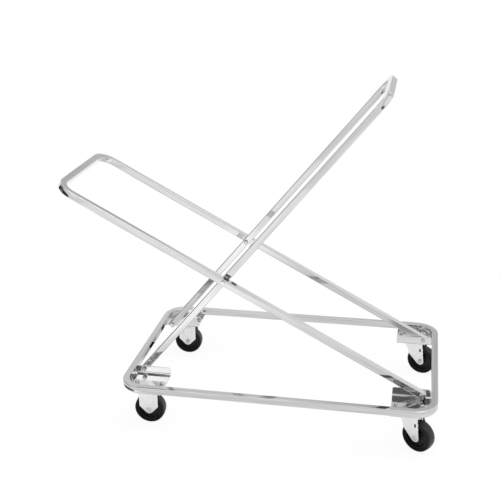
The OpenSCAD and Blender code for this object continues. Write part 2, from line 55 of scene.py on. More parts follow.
# Frame of tube and sheet, with the sizes of the solids
BASE_L, BASE_W = 1020.0, 620.0
TUBE, TUBE_WALL, TUBE_EDGE = 22.0, 1.6, 3.0
BASE_BEND, LOOP_BEND = 66.0, 50.0
HANDLE_SLOPE, HANDLE_LEN = radians(50.2), 1219.0
CRADLE_SLOPE, CRADLE_LEN = radians(28.7), 1327.0
FOOT_OVER, FOOT_X, FOOT_Z = 10.5, 458.0, 153.5
PAN_T, FRONT_PAN_BEND, REAR_PAN_BEND = 3.0, 8.5, 4.0
FLANGE_Y, FLANGE_H, FLANGE_CORNER = 178.5, 31.0, 8.0
PAN_EDGE_X, WELD_INSET, FLANGE_END_X = 366.0, 3.0, 487.0
HANDLE_HALF, CRADLE_HALF = FLANGE_Y, FLANGE_Y + PAN_T + TUBE
SPAN = 2 * FOOT_X / sin(HANDLE_SLOPE + CRADLE_SLOPE)
CROSS_X = FOOT_X - SPAN * sin(HANDLE_SLOPE) * cos(CRADLE_SLOPE)
CROSS_Z = FOOT_Z + SPAN * sin(HANDLE_SLOPE) * sin(CRADLE_SLOPE)
# Marks of bending: depth of the dents in the inner and outer walls, their run past a bend, and the sides' swelling
DENT_IN, DENT_OUT, DENT_RUN, SWELL = 1.2, 1.0, 36.0, 0.02
# Cut ends of the tubes: how far in they are drawn, their rounding and the smallest edge inside
FOOT_DEPTH, LIP_SOFT, LEAST_EDGE = 60.0, 0.35, 0.4
# Pan's softened rim, the share of thickness left at its ends, and the run over which it widens below the flange
PAN_SOFT, PAN_RIM, PAN_WIDEN = 0.6, 0.55, 10.0

# Bolts, nuts and washers
BOLT_R, BOLT_HOLE, NUT_BORE = 4.0, 4.25, 4.05
HEX_AF, HEAD_H, NUT_H, THREAD_END = 13.0, 5.5, 6.5, 2.5
FACE_R, FACE_T, SINK = 7.6, 0.6, 0.7
THREAD_PITCH, THREAD_DEPTH, THREAD_TIP, THREAD_BACK = 1.25, 0.45, 0.9, 1.0
WASHER_R, WASHER_T, SPACER_R, RING_SOFT = 8.0, 1.6, 10.0, 0.25
NUT_TURN = 0.61  # each bolt and nut on the pans is turned this much further, in radians

# Castors
CASTOR_H, CASTOR_X, CASTOR_Y, BOLT_PITCH = 134.0, 421.0, 245.5, 84.0
PLATE_L, PLATE_W, PLATE_T, PLATE_CORNER = 108.0, 60.0, 3.0, 8.0
PLATE_Z = CASTOR_H - PLATE_T
WHEEL_R, TYRE_HALF, SHOULDER, CORE_R = 51.0, 18.0, 5.0, 40.0
TREAD_CROWN = 70.0  # radius of the tread's crown across the tyre
RING_OUT, RING_HALF, RING_DEEP = 2.4, 1.3, 1.5  # shallow ring in the tyre's side
HUB_OUT, RIM_BACK = 0.5, 3.5  # hub past the tyre's sides, rim behind them
AXLE_Z, TRAIL = WHEEL_R, 40.0
LEFT_TURN, RIGHT_TURN = radians(-32.0), radians(-21.0)
LEG_IN, FORK_T, TIP_R = TYRE_HALF + 1.0, 2.5, 14.0
LEG_OUT = LEG_IN + FORK_T
FIXED_LEG_W, FLARE_X, LEG_LOW, LEG_TOP = 63.0, 41.0, 12.0, 22.0
TONGUE_R, TONGUE_T, TONGUE_SOFT, TONGUE_LOW = 16.0, 3.0, 1.6, 32.0
SWIVEL_FRONT, SWIVEL_REAR, GUSSET = 32.0, 45.0, 8.0
KNEE, WAIST = (-2.0, AXLE_Z + 22), (-10.0, AXLE_Z + 45)  # bends in the swivel leg's forward edge
SLOT_HALF_W, SLOT_HALF_H = 2.8, 6.6
SLEEVE_R, SLEEVE_BORE, CORE_BORE, HUB_R, WEB_HALF, RIM_T = 6.0, 4.05, 6.05, 13.0, 4.0, 4.5
PIN_R, PIN_HOLE, RIVET_R, RIVET_TOP_R, RIVET_H = 5.0, 5.05, 9.0, 7.5, 3.0
CROWN_Z, CROWN_T, CROWN_SOFT, WEB_CORNER = PLATE_Z - 6.2, 3.0, 0.9, 1.5
DISH, DISH_FLOOR, DISH_EASE, BALL_R, BALL_GAP = 4.5, 16.5, 1.5, 3.0, 0.1
BALL_RING = DISH_FLOOR + DISH + PLATE_T / 2 - BALL_GAP - BALL_R + sqrt(2) * (BALL_R + 2 * BALL_GAP)
BALL_Z = PLATE_Z - BALL_GAP - BALL_R
BALLS = int(180 / degrees(asin((BALL_R + BALL_GAP) / BALL_RING)))
LIP_R, LIP_T = BALL_RING + BALL_R + BALL_GAP, 2.4
# Profile of the axle's low, slightly hollow head: (radius, height)
AXLE_HEAD = [(8.5, 0.0), (8.4, 0.8), (6.9, 3.2), (4.2, 3.2), (3.4, 2.3)]

BASE_Z = CASTOR_H + PAN_T + TUBE / 2
low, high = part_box("base_frame")
BASE_X = (low[0] + high[0]) / 2 / MM

# How finely the skins are drawn
SLOPE_STEP = 1e-4  # step of a parameter from which a slope is taken
POLE = 0.02  # radius of the small flat that closes a turned piece on its axis
PINHOLE = 0.4  # radius of the hidden opening in the middle of a plain plate
BEND_RINGS, FADE_RINGS = 30, 9
ARC_POINTS, SIDE_POINTS, CORNER_STEP = 14, 6, 0.02


# Grids and meshes

def unit(ways):
    """Directions of length 1, one to a row."""
    return ways / np.maximum(np.linalg.norm(ways, axis=1, keepdims=True), 1e-12)


def skin(shape, u, v, wrap=False, run=None):
    """Closed skin of the points shape(u, v); a normal is the cross product of the two slopes, from small steps.

    The grid goes round along v. Along u it wraps, or else a flat face closes its first and its last ring. A skin
    of negative volume is turned round to face outwards. run(u, v) gives each point's coordinates along the stock
    it is made of, for the finish; without it they are the point itself."""
    grid_u, grid_v = np.meshgrid(u, v, indexing="ij")
    points = shape(grid_u, grid_v).reshape(-1, 3)
    slope_u = shape(grid_u + SLOPE_STEP, grid_v) - shape(grid_u - SLOPE_STEP, grid_v)
    slope_v = shape(grid_u, grid_v + SLOPE_STEP) - shape(grid_u, grid_v - SLOPE_STEP)
    normals = unit(np.cross(slope_u, slope_v).reshape(-1, 3))
    number = np.arange(len(points)).reshape(grid_u.shape)
    next_u, next_v = np.roll(number, -1, 0), np.roll(number, -1, 1)
    faces = np.stack([number, next_u, np.roll(next_u, -1, 1), next_v], -1)
    faces = (faces if wrap else faces[:-1]).reshape(-1, 4)
    rings = [] if wrap else [number[0], number[-1][::-1]]
    a, b, c, d = (points[faces[:, k]] for k in range(4))
    volume = np.einsum("ij,ij->", a, np.cross(b, c)) + np.einsum("ij,ij->", a, np.cross(c, d))
    if volume < 0:
        faces, normals, rings = faces[:, ::-1], -normals, [r[::-1] for r in rings]
    stock = run(grid_u, grid_v).reshape(-1, 3) if run else points
    return points, normals, faces, rings, stock


def place(part, origin=(0, 0, 0), x=(1, 0, 0), y=(0, 1, 0), z=(0, 0, 1)):
    """Moves a skin: its own X, Y and Z run along the given directions from the origin. Mirrored directions also
    turn the faces round."""
    points, normals, faces, rings, stock = part
    axes = np.array([x, y, z], float)
    if np.linalg.det(axes) < 0:
        faces, rings = faces[:, ::-1], [r[::-1] for r in rings]
    return points @ axes + origin, normals @ axes, faces, rings, stock


def across(part, spot=(0, 0, 0), way=1):
    """Lays a skin that stands along Z across the trolley: its top points to +Y, or to -Y where way is -1."""
    return place(part, spot, y=(0, 0, -way), z=(0, way, 0))


def draw(name, parts, body, slot, solid):
    """Joins skins into one mesh in metres with its slot's finish, rides it on its body and lets it stand for the
    named solid."""
    points, normals, stock = (np.concatenate([p[k] for p in parts]) for k in (0, 1, 4))
    starts = np.cumsum([0] + [len(p[0]) for p in parts])
    faces = np.concatenate([p[2] + s for p, s in zip(parts, starts)])
    rings = [r + s for p, s in zip(parts, starts) for r in p[3]]
    loops = np.concatenate([faces.ravel()] + rings).astype(np.int32)
    sizes = np.array([4] * len(faces) + [len(r) for r in rings])
    mesh = bpy.data.meshes.new(name)
    mesh.vertices.add(len(points))
    mesh.vertices.foreach_set("co", ((points + [BASE_X, 0, 0]) * MM).ravel())
    mesh.loops.add(len(loops))
    mesh.loops.foreach_set("vertex_index", loops)
    mesh.polygons.add(len(sizes))
    mesh.polygons.foreach_set("loop_start", np.concatenate([[0], np.cumsum(sizes)[:-1]]).astype(np.int32))
    mesh.polygons.foreach_set("use_smooth", np.ones(len(sizes), bool))
    mesh.update(calc_edges=True)
    mesh.normals_split_custom_set_from_vertices(normals)
    run = mesh.attributes.new("run", "FLOAT_VECTOR", "POINT")
    run.data.foreach_set("vector", (stock * MM).ravel())
    mesh.materials.append(FINISHES[slot])
    thing = bpy.data.objects.new(name, mesh)
    bpy.context.scene.collection.objects.link(thing)
    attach(thing, body)
    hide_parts(solid)


# Outlines and routes

def step(x, start, end):
    """Smooth rise from 0 at the start to 1 at the end; the end may lie below the start."""
    q = np.clip((x - start) / (end - start), 0, 1)
    return q * q * (3 - 2 * q)


def rows_of(table, wrap=False):
    """Numbers of a table's rows, and a reader that gives each column at a row number k, in straight lines from
    row to row. A table that wraps goes on from its last row to its first."""
    table = np.array(table, float)
    if wrap:
        table = np.concatenate([table, table[:1]])
    numbers = np.arange(len(table), dtype=float)

    def read(k):
        k = k % (len(table) - 1) if wrap else k
        return [np.interp(k, numbers, column) for column in table.T]
    return (numbers[:-1] if wrap else numbers), read


def on_circle(r, z, w):
    """Point at the radius r, the height z and the angle w."""
    return np.stack([r * np.cos(w), r * np.sin(w), z], -1)


def full_turn(steps):
    """Even angles round a full turn, from 0."""
    return np.linspace(0, 2 * pi, steps, endpoint=False)


def rounded_box(t, half_x, half_y, r):
    """Point at the share t of the way round a rectangle with rounded corners: four straight sides and four
    quarter circles follow one another, and each of the eight stretches takes one eighth of t."""
    t = (t % 1.0) * 8.0
    side, part = np.floor(t).astype(int) % 8, t - np.floor(t)
    quarter = side // 2
    angle, bend = quarter * QUARTER, part * QUARTER
    even, flat = quarter % 2 == 0, side % 2 == 0
    reach, span = np.where(even, half_x, half_y), np.where(even, half_y, half_x)
    out = np.where(flat, reach, reach - r + r * np.cos(bend))
    up = np.where(flat, (2 * part - 1) * (span - r), span - r + r * np.sin(bend))
    return out * np.cos(angle) - up * np.sin(angle), out * np.sin(angle) + up * np.cos(angle)


def round_shares(flat_steps, bend_steps):
    """Shares t for rounded_box: so many points on each straight side and on each quarter circle."""
    pair = np.concatenate([np.arange(flat_steps) / flat_steps, 1 + np.arange(bend_steps) / bend_steps])
    return np.concatenate([2 * q + pair for q in range(4)]) / 8


TUBE_SHARES, PAN_SHARES = round_shares(8, 7), round_shares(10, 4)


def advance(x, y, h, k, d):
    """Place and heading after the length d from x, y and the heading h: straight on, or round a radius of 1/k."""
    safe = np.where(k == 0, 1.0, k)
    px = np.where(k == 0, x + d * np.cos(h), x + (np.sin(h + k * d) - np.sin(h)) / safe)
    py = np.where(k == 0, y + d * np.sin(h), y + (np.cos(h) - np.cos(h + k * d)) / safe)
    return px, py, h + k * d


class Route:
    """Plane path of straight stretches and circular bends. Each stretch is (length, turn) with the turn in
    radians to the left; along a bend the heading grows in step with the length."""

    def __init__(self, start, stretches):
        rows, here, at = [], (*start, 0.0), 0.0
        for length, turn in stretches:
            rows.append((at, *here, turn / length, length))
            here, at = advance(*here, turn / length, length), at + length
        self.rows, self.length = np.array(rows, float), at

    def at(self, s):
        """Place and heading at the length s."""
        i = np.clip(np.searchsorted(self.rows[:, 0], s, side="right") - 1, 0, len(self.rows) - 1)
        at, x, y, h, k = (self.rows[i, n] for n in range(5))
        return advance(x, y, h, k, s - at)

    def bent(self, s):
        """0 along the straights and 1 in the bends: a smooth change from DENT_RUN before each end of a bend to
        DENT_RUN after it. A closed route's last bend also reaches past its start."""
        bends = self.rows[self.rows[:, 4] != 0]
        half, turn = bends[:, 5] / 2, self.length / 2
        off = np.abs((s[..., None] - bends[:, 0] - half + turn) % self.length - turn) - half
        return step(off, DENT_RUN, -DENT_RUN).max(-1)

    def stations(self):
        """Lengths at which rings are drawn: even steps along the bends and along the dents' ends."""
        fade = DENT_RUN * np.linspace(0, 1, FADE_RINGS)
        parts = []
        for at, _, _, _, k, length in self.rows:
            rings = length * np.linspace(0, 1, BEND_RINGS) if k else np.concatenate([fade, length - fade[::-1]])
            parts.append(at + rings[:-1])
        return np.concatenate(parts + [[self.length]])


# Pieces of tube

def tube_point(route, t, s, inset):
    """Point of a square tube's skin at the share t round its section and the length s, inset from the outside.
    In a bend the inner and outer walls sink towards the middle and the two sides swell a little."""
    half, r = TUBE / 2 - inset, np.maximum(TUBE_EDGE - inset, LEAST_EDGE)
    a, b = rounded_box(t, half, half, r)
    px, py, heading = route.at(s)
    bend = route.bent(s)
    sink = np.cos(pi * np.clip(b / TUBE, -0.5, 0.5)) ** 2
    a = a - bend * sink * np.where(a > 0, DENT_IN, -DENT_OUT) * np.abs(a) / half
    b = b * (1 + bend * SWELL * (1 - np.clip(a / half, -1, 1) ** 2))
    return np.stack([px - np.sin(heading) * a, py + np.cos(heading) * a, b], -1)


def tube_run(s, t):
    """Coordinates along a tube: the length s and the two places in its section."""
    a, b = rounded_box(t, TUBE / 2, TUBE / 2, TUBE_EDGE)
    return np.stack([s, a, b], -1)


def base_ring_skin():
    """Closed ring of tube: the section is carried once round the base frame's centreline."""
    run_x, run_y = BASE_L - TUBE - 2 * BASE_BEND, BASE_W - TUBE - 2 * BASE_BEND
    corner = (BASE_BEND * QUARTER, QUARTER)
    route = Route((-run_x / 2, -(BASE_W - TUBE) / 2), 2 * [(run_x, 0), corner, (run_y, 0), corner])
    return skin(lambda s, t: tube_point(route, t, s % route.length, 0.0) + [0, 0, BASE_Z],
                route.stations()[:-1], TUBE_SHARES, True, tube_run)


def loop_skin(length, half_w):
    """U of tube with open, hollow feet: rings run from inside one foot over its cut end, along the outside and
    into the other foot. A ring is given by its length along the route and its inset from the outside."""
    rail_y = half_w - TUBE / 2
    rail = (length - TUBE / 2 - LOOP_BEND + FOOT_OVER, 0)
    corner = (LOOP_BEND * QUARTER, QUARTER)
    route = Route((-FOOT_OVER, -rail_y), [rail, corner, (2 * (rail_y - LOOP_BEND), 0), corner, rail])
    lip = [(FOOT_DEPTH, TUBE_WALL), (LIP_SOFT, TUBE_WALL), (0.0, TUBE_WALL - LIP_SOFT), (0.0, LIP_SOFT),
           (LIP_SOFT, 0.0)]
    outside = [(s, 0.0) for s in route.stations()[1:-1]]
    numbers, read = rows_of(lip + outside + [(route.length - s, inset) for s, inset in lip[::-1]])
    return skin(lambda k, t: tube_point(route, t, *read(k)), numbers, TUBE_SHARES,
                run=lambda k, t: tube_run(read(k)[0], t))


# Sheet pieces

def drawn_back(d, r):
    """How far a corner rounded by r draws back an edge at the distance d past the rounding's start."""
    return r - np.sqrt(np.maximum(r ** 2 - np.clip(d, 0, r) ** 2, 0))


def pan_skin(bend_r):
    """Corner pan with the given inside bend, drawn for the rear right corner. The path runs down the flange,
    round the bend and across the floor; at each place the section is a flat bar from the near edge to the far
    edge, which follow the flange's rounded upper corners and the floor's rounded outer corner."""
    half, ring = PAN_T / 2, bend_r + PAN_T / 2
    drop, arc = FLANGE_H - PAN_T - bend_r, ring * QUARTER
    flat = drop + arc
    total = flat + BASE_W / 2 - WELD_INSET - (FLANGE_Y + PAN_T + bend_r)
    corner = BASE_BEND + TUBE / 2 - WELD_INSET
    end_x = BASE_L / 2 - WELD_INSET
    widen_from = drop + arc / 2

    def edges(s):
        """Ends of the bar along X at the path length s, and its half thickness."""
        lift, back = drawn_back(FLANGE_CORNER - s, FLANGE_CORNER), drawn_back(s - (total - corner), corner)
        grow = step(s, widen_from, widen_from + PAN_WIDEN)
        far = FLANGE_END_X + (end_x - FLANGE_END_X) * grow - lift - back
        slim = np.minimum(np.clip(s, 0, PAN_SOFT), np.clip(total - s, 0, PAN_SOFT)) / PAN_SOFT
        full = np.sqrt(np.maximum(1 - (1 - slim) ** 2, 0))
        return PAN_EDGE_X + lift, far, half * (PAN_RIM + (1 - PAN_RIM) * full)

    def shape(s, t):
        near, far, thick = edges(s)
        along, off = rounded_box(t, (far - near) / 2, thick, np.minimum(PAN_SOFT, thick * 0.6))
        bend = np.clip(s - drop, 0, arc) / arc * QUARTER
        down, out = np.clip(s, 0, drop), np.clip(s - flat, 0, None)
        y = FLANGE_Y + half + ring * (1 - np.cos(bend)) + out + off * np.cos(bend)
        z = CASTOR_H + FLANGE_H - down - ring * np.sin(bend) + off * np.sin(bend)
        return np.stack([(near + far) / 2 + along, y, z], -1)
    rims = PAN_SOFT * np.array([0.0, 0.1, 0.3, 0.6])
    top = FLANGE_CORNER * (1 - np.cos(np.linspace(0, QUARTER, 12)))
    outer = total - corner * (1 - np.cos(np.linspace(QUARTER, 0, 24)))
    bend_rows, floor_rows = drop + arc * np.linspace(0, 1, 14), flat + np.linspace(0, 14, 8)
    rows = np.unique(np.concatenate([rims, top, bend_rows, total - rims, outer, floor_rows]).round(6))
    return skin(shape, rows, PAN_SHARES,
                run=lambda s, t: np.stack([rounded_box(t, 60.0, half, PAN_SOFT)[0], s, 0 * s], -1))


def polar_outline(corners, centre, steps):
    """Outline of a sheet seen from a point inside it: for each angle, the distance to the outline. corners are
    (x, y, r), each rounded by an arc of its radius r."""
    p, r = np.split(np.array(corners, float), [2], axis=1)
    to_last, to_next = (unit(np.roll(p, k, axis=0) - p) for k in (1, -1))
    half = 0.5 * np.arccos(np.clip((to_last * to_next).sum(1, keepdims=True), -1, 1))
    c = p + unit(to_last + to_next) * r / np.sin(half)
    start, end = (p + way * r / np.tan(half) - c for way in (to_last, to_next))
    first, last = (np.arctan2(q[:, 1:], q[:, :1]) for q in (start, end))
    turn = first + ((last - first + pi) % (2 * pi) - pi) * np.linspace(0, 1, ARC_POINTS)
    arcs = c[:, None] + r[:, None] * np.stack([np.cos(turn), np.sin(turn)], -1)
    ring = arcs.reshape(-1, 2) - centre
    share = np.linspace(0, 1, SIDE_POINTS)[:-1, None]
    ring = np.concatenate([a + (b - a) * share for a, b in zip(ring, np.roll(ring, -1, axis=0))])
    angle = np.arctan2(ring[:, 1], ring[:, 0])
    order = np.argsort(angle)
    angle, reach = angle[order], np.hypot(ring[:, 0], ring[:, 1])[order]
    even = np.linspace(-pi, pi, steps, endpoint=False)
    marks = np.arctan2(p[:, 1] - centre[1], p[:, 0] - centre[0])
    angles = np.unique(np.concatenate([even, marks, marks - CORNER_STEP, marks + CORNER_STEP]).round(5))
    angles = angles[(angles >= -pi) & (angles < pi - 1e-4)]
    return angles, (lambda w: np.interp(w, angle, reach, period=2 * pi))


def pressed_sheet(corners, centre, hole, thick, steps, rows, press=None, soft=0.5):
    """Flat sheet with softened rims, open at a hole round the centre. The first parameter runs round the section:
    out over the upper face, over the rim, back along the lower face and up the hole's wall. press(x, y) lifts both
    faces alike, as a stamping does. hole is the hole's radius, or gives it for an angle."""
    angles, reach = polar_outline(corners, centre, steps)
    share = np.linspace(0, 1, rows)
    rim = np.linspace(0, pi, 7)[1:-1]
    upper, lower = [(q, 1.0, 0.0) for q in share], [(q, -1.0, 0.0) for q in share[::-1]]
    outside = [(1.0, cos(w), sin(w)) for w in rim]
    inside = [(0.0, cos(w), -sin(w)) for w in rim[::-1]]
    numbers, read = rows_of(upper + outside + lower + inside, True)

    def shape(k, w):
        q, face, edge = read(k)
        inner, outer = hole(w) if callable(hole) else hole, reach(w)
        rho = inner + soft + (outer - inner - 2 * soft) * q + soft * edge
        x, y = centre[0] + rho * np.cos(w), centre[1] + rho * np.sin(w)
        return np.stack([x, y, thick / 2 * face + (press(x, y) if press else 0.0)], -1)
    return skin(shape, numbers, angles, True)


# Turned pieces and fasteners

def turned(profile, steps, wrap=False):
    """Solid of revolution about Z: the profile's (radius, height) points are carried round a full turn."""
    numbers, read = rows_of(profile, wrap)
    return skin(lambda k, w: on_circle(*read(k), w), numbers, full_turn(steps), wrap)


def softened(corners, r, steps=4):
    """Profile of (radius, height) with every corner between its two end points cut back by r, or by less than half
    of a short side, and rounded: a quadratic curve runs from one side to the next."""
    pts = [np.array(c, float) for c in corners]
    out = [pts[0]]
    for a, p, b in zip(pts, pts[1:], pts[2:]):
        da, db = np.linalg.norm(a - p), np.linalg.norm(b - p)
        start, end = p + (a - p) * min(r, da * 0.45) / da, p + (b - p) * min(r, db * 0.45) / db
        q = np.linspace(0, 1, steps)[:, None]
        out += list((1 - q) ** 2 * start + 2 * q * (1 - q) * p + q ** 2 * end)
    return np.array(out + [pts[-1]])


def turned_ring(corners, r, turn_steps, steps=4):
    """Ring turned about Z from a closed profile with softened corners that starts on a straight side."""
    return turned(softened(corners + corners[:1], r, steps)[:-1], turn_steps, True)


def hexagon_skin(low_z, high_z, bore=0.0):
    """Six-sided head or nut: at each height the radius is the smaller of the hexagon's reach, rounded at its
    corners, and of a cone that cuts them back, at the lower end of a head and at both ends of a nut. A bore goes
    down the middle of a nut, with a countersink at its mouths."""
    half, top = HEX_AF / 2, high_z - low_z
    corner, cone = half / cos(pi / 6), tan(pi / 6)
    cut = np.linspace(0, 1.2, 7)
    face = half - 0.35
    rows = [(face, 0.0, 0.0)] + [(0.0, z, 1.0) for z in np.unique(np.concatenate([cut, top - cut]).clip(0, top))]
    rows += [(face, top, 0.0)]
    if bore:
        mouth = bore + SINK
        rows = [(bore, SINK, 0.0), (mouth, 0.0, 0.0)] + rows + [(mouth, top, 0.0), (bore, top - SINK, 0.0)]
    else:
        rows = [(POLE, 0.0, 0.0)] + rows + [(POLE, top, 0.0)]
    numbers, read = rows_of(rows, bool(bore))

    def shape(k, w):
        r, z, six = read(k)
        turn = (w + pi / 6) % (pi / 3) - pi / 6
        reach = np.minimum(half / np.cos(turn), corner - 0.10 - 0.25 * np.abs(turn * 6 / pi) ** 12)
        reach = np.minimum(reach, half - 0.05 + (np.minimum(z, top - z) if bore else z) / cone)
        return on_circle(r + six * (reach - r * six), low_z + z, w)
    return skin(shape, numbers, full_turn(72), bool(bore))


def thread_skin(low_z, high_z):
    """Threaded bolt end: the radius falls and rises with the distance to a helix, and tapers off at the tip."""
    z = [*np.arange(low_z, high_z - 0.05, THREAD_PITCH / 6), high_z - 0.03, high_z]
    numbers, read = rows_of([(low_z, POLE)] + [(height, 1.0) for height in z] + [(high_z, POLE)])

    def shape(k, w):
        height, part = read(k)
        wave = np.abs(((height / THREAD_PITCH - w / (2 * pi)) % 1.0) * 2 - 1)
        tip = np.clip((high_z - height) / THREAD_TIP, 0, 1)
        return on_circle((BOLT_R - THREAD_DEPTH * wave - THREAD_TIP * (1 - tip)) * part, height, w)
    return skin(shape, numbers, full_turn(48))


def bolt_parts(grip):
    """Bolt along +Z from the underside of its head: chamfered hexagon with a washer face, a plain shank through
    the grip, and the threaded end that stands out of the nut."""
    profile = [(POLE, -FACE_T), (FACE_R, -FACE_T), (FACE_R, 0.0), (BOLT_R, 0.0), (BOLT_R, grip), (POLE, grip)]
    return [hexagon_skin(-HEAD_H, 0.1 - FACE_T), turned(softened(profile, 0.12), 48),
            thread_skin(grip - THREAD_BACK, grip + NUT_H + THREAD_END)]


def ring_parts(outer_r, h):
    """Flat washer or spacer with softened rims."""
    mid = (outer_r + BOLT_HOLE) / 2
    corners = [(mid, 0.0), (outer_r, 0.0), (outer_r, h), (BOLT_HOLE, h), (BOLT_HOLE, 0.0)]
    return [turned_ring(corners, RING_SOFT, 64)]


nut = [hexagon_skin(0.0, NUT_H, NUT_BORE)]


def on_both_sides(parts, x, z, y, way):
    """Copies parts to both sides at the distance y; their Z points outwards, or inwards where way is -1."""
    return [across(p, (x, side * y, z), side * way) for side, _ in SIDES for p in parts]


def at_castor_bolts(parts, z, turn):
    """Copies parts to both fixing bolts of the four castors; each copy is turned a little further."""
    out = []
    for end, side, fore in product((-1, 1), repeat=3):
        turn += NUT_TURN
        c, s = cos(turn), sin(turn)
        spot = (end * CASTOR_X + fore * BOLT_PITCH / 2, side * CASTOR_Y, z)
        out += [place(p, spot, (c, s, 0), (-s, c, 0)) for p in parts]
    return out


# Finishes

def feed(tree, made, inputs):
    """Gives a node its inputs: another node's output is linked, and a plain value is set on the socket."""
    for key, value in inputs.items():
        if isinstance(value, bpy.types.NodeSocket):
            tree.links.new(value, made.inputs[key])
        else:
            made.inputs[key].default_value = value
    return made


def node(tree, kind, inputs, *outputs, **settings):
    """New shader node with its settings and inputs; gives the named output, or a list of several."""
    made = tree.nodes.new("ShaderNode" + kind)
    for key, value in settings.items():
        setattr(made, key, value)
    feed(tree, made, inputs)
    asked = [made.outputs[key] for key in outputs]
    return asked[0] if len(asked) == 1 else asked


def work(tree, kind, *values):
    """One step of arithmetic; each value is another node's output or a plain number."""
    return node(tree, "Math", dict(enumerate(values)), "Value", operation=kind)


def chain(tree, kind, values):
    """Values joined one after another by the same step of arithmetic."""
    out = values[0]
    for value in values[1:]:
        out = work(tree, kind, out, value)
    return out


def rise(tree, value, start, end, low=0.0, high=1.0, way="SMOOTHSTEP"):
    """Smooth or linear step of a value: low at the start, high at the end; the end may lie below the start."""
    inputs = {"Value": value, "From Min": start, "From Max": end, "To Min": low, "To Max": high}
    return node(tree, "MapRange", inputs, "Result", interpolation_type=way)


def zone(tree, amount, limits):
    """Part of the floor or the surround between smooth limits (value, start, end), as strong as the amount."""
    return chain(tree, "MULTIPLY", [rise(tree, *limit) for limit in limits] + [amount])


def noise(tree, coords, scale, detail, rough=0.5):
    """Cloudy noise along the stock; scale gives the number of clouds to a metre along each of its axes."""
    placed = node(tree, "Mapping", {"Vector": coords, "Scale": scale}, "Vector")
    inputs = {"Vector": placed, "Scale": 1.0, "Detail": detail, "Roughness": rough}
    return node(tree, "TexNoise", inputs, "Fac")


def blend_colours(tree, value, stops):
    """Colour for a value, in a straight line from each stop, (value, colour), to the next."""
    blend = node(tree, "ValToRGB", {"Fac": value}, "Color")
    elements = blend.node.color_ramp.elements
    for spot, _ in stops[1:-1]:
        elements.new(spot)
    for element, (spot, colour) in zip(elements, stops):
        element.position, element.color = spot, (*colour, 1)
    return blend


def relief(tree, value, height):
    """Normal of a fine relief, its height in metres, from a noise value."""
    return node(tree, "Bump", {"Height": value, "Strength": 1.0, "Distance": height}, "Normal")


FINISHES = {}


def finish(name, colour, metal, rough):
    """New material for the slot of that name, with a plain shader: colour, metal share and roughness are set on
    the shader's own sockets. The coordinates run along the stock of each piece, in metres."""
    material = bpy.data.materials.new(name)
    material.use_nodes = True
    FINISHES[name] = material
    tree = material.node_tree
    shader = feed(tree, tree.nodes["Principled BSDF"],
                  {"Base Color": (*colour, 1.0), "Metallic": metal, "Roughness": rough})
    return tree, shader, node(tree, "Attribute", {}, "Vector", attribute_name="run")


# Clouds to a metre along the stock's three axes, and the heights of the reliefs in metres
HAZE, HAIR = (9.0, 9.0, 9.0), (4.0, 170.0, 170.0)
CLOUD, GRAIN = (38.0, 38.0, 38.0), (420.0, 420.0, 105.0)
SCUFF_AND_HIGHLIGHT, MOULD_GRAIN = (60.0, 60.0, 480.0), (900.0, 900.0, 900.0)
WAVE_H, GRAIN_H = 0.00005, 0.00003
SCUFF_AND_HIGHLIGHT_EDGE = 0.002  # half the width, in metres, over which the lighter tread band ends; the band is partly wear and partly a painted highlight


def chrome_finish(name, bright, dull, rough_low, rough_high, wave):
    """Bright chrome plate: a mirror with faint haze in patches, hair lines from polishing along the stock and a
    slow waviness, so that reflections run in long uneven streaks."""
    tree, shader, coords = finish(name, bright, 1.0, rough_low)
    haze, hair = noise(tree, coords, HAZE, 5.0), noise(tree, coords, HAIR, 5.0, 0.6)
    feed(tree, shader, {
        "Base Color": blend_colours(tree, hair, ((0.35, dull), (0.65, bright))),
        "Roughness": rise(tree, work(tree, "MULTIPLY", haze, hair), 0.15, 0.42, rough_low, rough_high, "LINEAR"),
        "Normal": relief(tree, noise(tree, coords, wave, 1.0), WAVE_H)})


def zinc_finish(name, light, dark, rough_low, rough_high):
    """Bright zinc plate on pressed steel: soft cloudy grey, a fine grain and dull drawing marks."""
    tree, shader, coords = finish(name, light, 1.0, rough_low)
    cloud, grain = noise(tree, coords, CLOUD, 6.0), noise(tree, coords, GRAIN, 3.0)
    feed(tree, shader, {
        "Base Color": blend_colours(tree, cloud, ((0.3, dark), (0.7, light))),
        "Roughness": rise(tree, grain, 0.3, 0.7, rough_low, rough_high, "LINEAR"),
        "Normal": relief(tree, grain, GRAIN_H)})


def black_finish(name, dark, light, clouds, rough_low, rough_high, grain_h, wear_and_highlight=None):
    """Black rubber or plastic: dusty scuffs in patches on a fine moulded grain. The last argument, if given, is
    (half width, colour): the tread within that half width of the middle blends to the lighter colour in streaks,
    partly as rolling wear and partly as a painted highlight on the tread."""
    tree, shader, coords = finish(name, dark, 0.0, rough_low)
    dust = noise(tree, coords, (clouds,) * 3, 7.0, 0.65)
    colour = blend_colours(tree, dust, ((0.4, dark), (0.8, light)))
    if wear_and_highlight:
        half, scuff_and_highlight_colour = wear_and_highlight
        off = work(tree, "ABSOLUTE", node(tree, "SeparateXYZ", {"Vector": coords}, "Z"))
        streaks = noise(tree, coords, SCUFF_AND_HIGHLIGHT, 5.0, 0.6)
        # painted highlight: a lighter streaked band round the tread's middle, partly rolling wear
        scuff_and_highlight_mask = work(tree, "MULTIPLY", rise(tree, off, half + SCUFF_AND_HIGHLIGHT_EDGE, half - SCUFF_AND_HIGHLIGHT_EDGE),
                      rise(tree, streaks, 0.30, 0.62))
        inputs = {"Factor": scuff_and_highlight_mask, "A": colour, "B": (*scuff_and_highlight_colour, 1.0)}
        colour = node(tree, "Mix", inputs, "Result", data_type="RGBA")
    feed(tree, shader, {
        "Specular IOR Level": 0.25,
        "Base Color": colour,
        "Roughness": rise(tree, dust, 0.3, 0.7, rough_low, rough_high, "LINEAR"),
        "Normal": relief(tree, noise(tree, coords, MOULD_GRAIN, 2.0), grain_h)})


